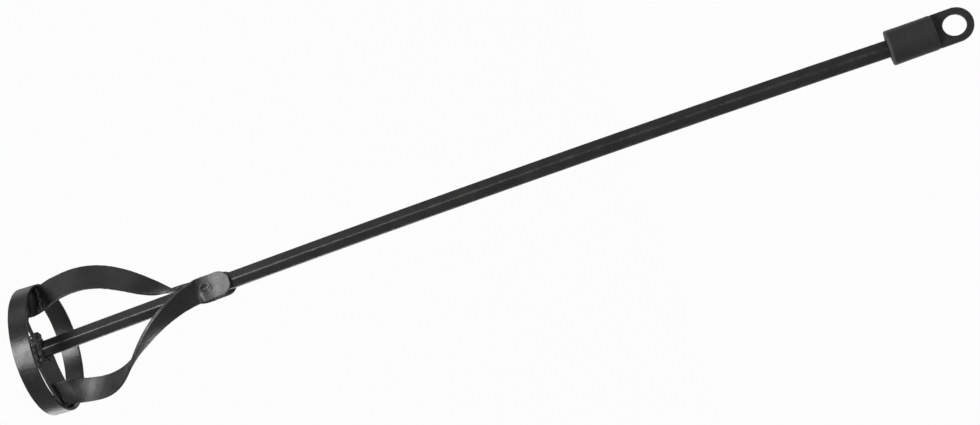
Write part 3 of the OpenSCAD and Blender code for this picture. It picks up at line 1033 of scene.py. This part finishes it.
class Shader:
    """A material with makers of nodes; each maker returns its output socket."""

    def __init__(self, name):
        self.material = bpy.data.materials.new(name)
        self.material.use_nodes = True
        self.tree = self.material.node_tree
        self.tree.nodes.clear()
        self.output = new_node(self.tree, "ShaderNodeOutputMaterial", {})
        self.principled = new_node(self.tree, "ShaderNodeBsdfPrincipled", {})
        self.surface(self.principled.outputs["BSDF"])

    def surface(self, shader):
        feed(self.tree, self.output, {"Surface": shader})

    def look(self, inputs):
        feed(self.tree, self.principled, inputs)

    def object_place(self):
        self.place = new_node(self.tree, "ShaderNodeTexCoord", {}).outputs["Object"]
        return self.place

    def noise(self, scale, detail=4.0, roughness=0.55, distortion=0.0, at=None):
        return new_node(self.tree, "ShaderNodeTexNoise", {
            "Scale": scale, "Detail": detail, "Roughness": roughness,
            "Distortion": distortion, "Vector": at or self.place}).outputs["Fac"]

    def attribute(self, name):
        return new_node(self.tree, "ShaderNodeAttribute", {},
                        attribute_name=name).outputs["Fac"]

    def ramp(self, source, stops):
        """Colour ramp through (position, grey or RGB) stops."""
        node = new_node(self.tree, "ShaderNodeValToRGB", {"Fac": source})
        elements = node.color_ramp.elements
        while len(elements) > 1:
            elements.remove(elements[-1])
        elements[0].position = stops[0][0]
        elements[0].color = colour(stops[0][1])
        for position, value in stops[1:]:
            elements.new(position).color = colour(value)
        return node.outputs["Color"]

    def math(self, operation, a, b):
        return new_node(self.tree, "ShaderNodeMath", {0: a, 1: b},
                        operation=operation).outputs[0]

    def times(self, a, b):
        return self.math("MULTIPLY", a, b)

    def plus(self, a, b):
        return self.math("ADD", a, b)

    def mix(self, factor, a, b, blend="MIX"):
        return new_node(self.tree, "ShaderNodeMix", {0: factor, 6: colour(a), 7: colour(b)},
                        data_type="RGBA", blend_type=blend).outputs[2]

    def dust(self, cells, core, rim, patches, gate):
        """Specks core..rim wide in a cell pattern, kept where a patch noise passes the gate."""
        cell = new_node(self.tree, "ShaderNodeTexVoronoi", {"Scale": cells, "Vector": self.place})
        specks = self.ramp(cell.outputs["Distance"], [(0.0, 1.0), (core, 1.0), (rim, 0.0)])
        sparse = self.ramp(self.noise(patches, detail=2.0), [(gate, 0.0), (0.66, 1.0)])
        return self.times(specks, sparse)

    def bump(self, height, strength, distance):
        self.look({"Normal": new_node(self.tree, "ShaderNodeBump", {
            "Strength": strength, "Distance": distance,
            "Height": height}).outputs["Normal"]})


# ---------------------------------------------------------------- materials
def paint(name, base, roughness, coat=0.12, bump=1.0, grain_height=0.22, stretch=None):
    """Satin black paint: orange-peel skin, dust nibs, cloudy gloss, and edges lightened partly
    for thin paint, partly as a painted highlight.
    """
    s = Shader(name)
    skin_place = s.object_place()
    if stretch:
        skin_place = new_node(s.tree, "ShaderNodeMapping",
                              {"Scale": stretch, "Vector": skin_place}).outputs["Vector"]
    cloud = s.noise(55.0, detail=3.0, distortion=0.3)
    skin = s.noise(320.0, roughness=0.6, at=skin_place)
    fine = s.noise(1500.0, detail=2.0, roughness=0.5)
    grain = s.noise(4200.0, detail=2.0, roughness=0.6, at=skin_place)
    # near black, drifting slightly cool and warm
    drift = s.ramp(cloud, [(0.30, (base * 0.78, base * 0.78, base * 0.80)),
                           (0.55, (base, base, base * 1.01)),
                           (0.75, (base * 1.35, base * 1.33, base * 1.28))])
    mottle = s.ramp(skin, [(0.35, 0.82), (0.62, 1.12)])
    black = s.mix(1.0, drift, mottle, blend="MULTIPLY")
    specks = s.dust(cells=420.0, core=0.055, rim=0.085, patches=140.0, gate=0.56)
    dusty = s.mix(s.times(specks, 0.30), black, base * 4.5)
    # lighter edges from the mesh's own mask, broken up by noise: partly worn paint, partly a
    # painted highlight along the edges
    breaks = s.ramp(s.noise(260.0, detail=5.0, roughness=0.7), [(0.46, 0.0), (0.60, 1.0)])
    edge_wear_and_highlight = s.times(s.attribute("edge"), breaks)
    # gloss drifts in clouds, rises and falls with the skin and is higher on worn edges
    gloss = s.ramp(s.noise(90.0, roughness=0.6, distortion=0.6),
                   [(0.28, roughness - 0.07), (0.5, roughness), (0.74, roughness + 0.11)])
    gloss = s.plus(s.plus(gloss, s.times(skin, 0.06)), s.times(edge_wear_and_highlight, -0.06))
    # the edge mask lifts the colour towards dark grey: worn paint, and in part a painted
    # highlight
    s.look({"Base Color": s.mix(s.times(edge_wear_and_highlight, 0.38), dusty, (0.085, 0.083, 0.080)),
            "Roughness": gloss, "Specular IOR Level": 0.5,
            "Coat Weight": coat, "Coat Roughness": 0.28})
    # relative heights of the layers of the skin
    broad = s.plus(s.times(fine, 0.55), s.times(skin, 0.9))
    small = s.plus(s.times(grain, grain_height), s.times(specks, 0.5))
    s.bump(s.plus(broad, small), strength=0.42 * bump, distance=0.00012)
    return s.material


def soft_plastic():
    """Soft moulded vinyl: matt, faint sheen, fine roughness, dust."""
    s = Shader("soft_vinyl")
    s.object_place()
    drift = s.ramp(s.noise(70.0, roughness=0.6, distortion=0.4),
                   [(0.3, (0.021, 0.021, 0.022)), (0.55, (0.027, 0.027, 0.0285)),
                    (0.78, (0.037, 0.0365, 0.0365))])
    specks = s.dust(cells=520.0, core=0.05, rim=0.09, patches=180.0, gate=0.58)
    dusty = s.mix(s.times(specks, 0.35), drift, 0.13)
    # painted shade: the tab is darker, with fine grit in its colour; painted highlight: the lip
    # of the sleeve is pale
    tab_shade_grit = s.ramp(s.noise(1300.0, detail=2.0, roughness=0.6), [(0.40, 0.012), (0.66, 0.031)])
    with_tab_shade = s.mix(s.times(s.attribute("tab"), 0.85), dusty, tab_shade_grit)
    # painted highlight: the lip mask lifts the rim at the open end to a pale grey
    s.look({"Base Color": s.mix(s.times(s.attribute("lip"), 0.6), with_tab_shade, 0.11),
            "Roughness": s.ramp(s.noise(240.0, roughness=0.6), [(0.3, 0.52), (0.7, 0.66)]),
            "Specular IOR Level": 0.36, "Sheen Weight": 0.42, "Sheen Roughness": 0.34})
    fine = s.noise(2600.0, detail=3.0, roughness=0.6)
    height = s.plus(s.times(fine, 0.5), s.times(s.noise(600.0, detail=3.0), 0.8))
    s.bump(height, strength=0.35, distance=0.00010)
    return s.material


STRIP_PAINT = paint("black_paint_strip", base=0.016, roughness=0.40, coat=0.05)
RING_PAINT = paint("black_paint_ring", base=0.013, roughness=0.27)
SHAFT_PAINT = paint("black_paint_shaft", base=0.015, roughness=0.38, stretch=(1, 1, 0.12))
# painted light: the welds' black paint has an almost three times lighter base than the other
# black paints, standing in for the light the weld lumps catch
WELD_PAINT_PAINTED_LIGHT = paint("black_paint_weld", base=0.042, roughness=0.30, coat=0.3, bump=1.6,
                   grain_height=0.4)
VINYL = soft_plastic()


# ---------------------------------------------------------------- pieces
def hand_over(ob, body, node, material):
    """Give a piece its material, attach it to its body and hide the frame node that it stands
    for.
    """
    ob.data.materials.clear()
    ob.data.materials.append(material)
    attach(ob, body)
    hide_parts(node)


def steel(ob, node, material):
    hand_over(ob, "paddle", node, material)


def weld(ob, node):
    hand_over(ob, "paddle", node, WELD_PAINT_PAINTED_LIGHT)


steel(build_shaft(), "hex_shaft", SHAFT_PAINT)
steel(build_ring(), "ring_band", RING_PAINT)
steel(build_bar(), "cross_bar", STRIP_PAINT)
for side in SIDES:
    steel(build_blade(side), f"blade_{side}", STRIP_PAINT)
weld(build_hub_weld(), "hub_weld")
weld(build_seam_weld(), "ring_seam_weld")
# place, shape, seeds of the front and rear beads
for place, shape_of, seeds in (("bar_end", bar_end_weld, (1.0, 4.0)),
                               ("foot", foot_weld, (2.0, 5.0)),
                               ("rim", rim_weld, (3.0, 6.5))):
    for side, seed in zip(SIDES, seeds):
        weld(make_mesh(f"{place}_bead_{side}", shape_of(side, seed)), f"{place}_weld_{side}")
for side in SIDES:
    weld(build_plug(side), f"plug_weld_{side}")
hand_over(build_cap(), "cap", "hang_cap", VINYL)

# ---------------------------------------------------------------- floor, in metres
scene = bpy.context.scene
scene.view_settings.view_transform = "Standard"
scene.view_settings.look = "None"
scene.view_settings.exposure = 0.0
scene.view_settings.gamma = 1.0

FLOOR_R, FLOOR_SIDES, FLOOR_GAP = 6.0, 96, 0.0030


def floor_material():
    """Almost evenly glowing white."""
    s = Shader("floor_pale")
    s.look({"Base Color": colour(0.01), "Roughness": 0.9, "Specular IOR Level": 0.0})
    glow = new_node(s.tree, "ShaderNodeEmission", {"Color": colour(1), "Strength": 0.975})
    both = new_node(s.tree, "ShaderNodeAddShader", {0: s.principled.outputs["BSDF"],
                                                    1: glow.outputs["Emission"]})
    s.surface(both.outputs["Shader"])
    return s.material


def build_floor():
    """Disc just below the paddle, seen by the camera only."""
    angles = [2 * math.pi * i / FLOOR_SIDES for i in range(FLOOR_SIDES)]
    verts = [(0.0, 0.0, 0.0)] + [(FLOOR_R * math.cos(a), FLOOR_R * math.sin(a), 0.0)
                                 for a in angles]
    mesh = bpy.data.meshes.new("floor_sheet")
    mesh.from_pydata(verts, [], [(0, 1 + i, 1 + (i + 1) % FLOOR_SIDES)
                                 for i in range(FLOOR_SIDES)])
    mesh.materials.append(floor_material())
    floor = bpy.data.objects.new("floor_sheet", mesh)
    floor.location = (0, 0, float(cad_box[0][2]) - FLOOR_GAP)
    scene.collection.objects.link(floor)
    floor.visible_shadow = False
    floor.visible_glossy = False
    floor.visible_diffuse = False
    floor.visible_transmission = False


def build_world(seen, lighting):
    """White surroundings: one strength for the camera, another for lighting."""
    world = bpy.data.worlds.new("studio")
    scene.world = world
    world.use_nodes = True
    tree = world.node_tree
    tree.nodes.clear()
    lit, shown = [new_node(tree, "ShaderNodeBackground",
                           {"Color": colour(1), "Strength": strength}).outputs["Background"]
                  for strength in (lighting, seen)]
    rays = new_node(tree, "ShaderNodeLightPath", {})
    mix = new_node(tree, "ShaderNodeMixShader",
                   {"Fac": rays.outputs["Is Camera Ray"], 1: lit, 2: shown})
    new_node(tree, "ShaderNodeOutputWorld", {"Surface": mix.outputs["Shader"]})


build_floor()
build_world(seen=0.98, lighting=0.28)


# ---------------------------------------------------------------- lights and camera, in metres
def pose(x_axis, y_axis, z_axis, place):
    return Matrix(((*x_axis, 0), (*y_axis, 0), (*z_axis, 0), (*place, 1))).transposed()


def area(name, direction, distance, size, power, target=(0, 0, 0.12), size_y=None):
    """Area light that stands off the target in the given direction and faces it."""
    data = bpy.data.lights.new(name, "AREA")
    data.shape = "RECTANGLE" if size_y else "SQUARE"
    data.size = size
    if size_y:
        data.size_y = size_y
    data.energy = power
    light = bpy.data.objects.new(name, data)
    z_axis = Vector(direction).normalized()
    x_axis = Vector((0, 0, 1)).cross(z_axis)
    x_axis.normalize()
    light.matrix_world = pose(x_axis, z_axis.cross(x_axis), z_axis,
                              Vector(target) + z_axis * distance)
    scene.collection.objects.link(light)
    return light


area("front_soft", direction=(-0.10, -0.91, -0.41), distance=1.3, size=0.74, size_y=0.52,
     power=13.3)
# a small light kept off everything but the front blade and the rear rim weld
kick = area("foot_kick", direction=(-0.57, -0.78, -0.25), distance=1.2, size=0.34, power=13.0,
            target=(0.02, 0, 0.02))
receivers = bpy.data.collections.new("foot_kick_receivers")
for ob in bpy.data.objects:
    if ob.name.startswith(("blade_front_strip", "rim_bead_rear")):
        receivers.objects.link(ob)
kick.light_linking.receiver_collection = receivers
area("back_left", direction=(-0.62, 0.70, -0.30), distance=1.2, size=0.6, power=0.38)
area("back_right", direction=(0.60, 0.75, -0.30), distance=1.2, size=0.6, power=2.5)
area("top_fill", direction=(-0.5, -0.4, 0.9), distance=1.8, size=1.2, power=4.5)
area("low_left", direction=(-0.90, -0.25, -0.36), distance=1.3, size=0.6, power=0.7)
area("top_soft", direction=(0.05, 0.35, 0.93), distance=1.7, size=1.0, power=2.2)

# the camera is in front, rolled so that the shaft runs across the frame with the ring at the left
camera_data = bpy.data.cameras.new("photo_camera")
camera_data.sensor_fit = "HORIZONTAL"
camera_data.sensor_width = 36.0
camera_data.lens = 73.469388
camera_data.clip_start = 0.05
camera_data.clip_end = 20.0
camera = bpy.data.objects.new("photo_camera", camera_data)
camera.matrix_world = pose(x_axis=(0.335019, 0.133847, 0.932656),
                           y_axis=(-0.942211, 0.047591, 0.331622),
                           z_axis=(0.0, -0.989859, 0.142056),
                           place=(0.012069, -1.186504, 0.466548))
scene.collection.objects.link(camera)
scene.camera = camera
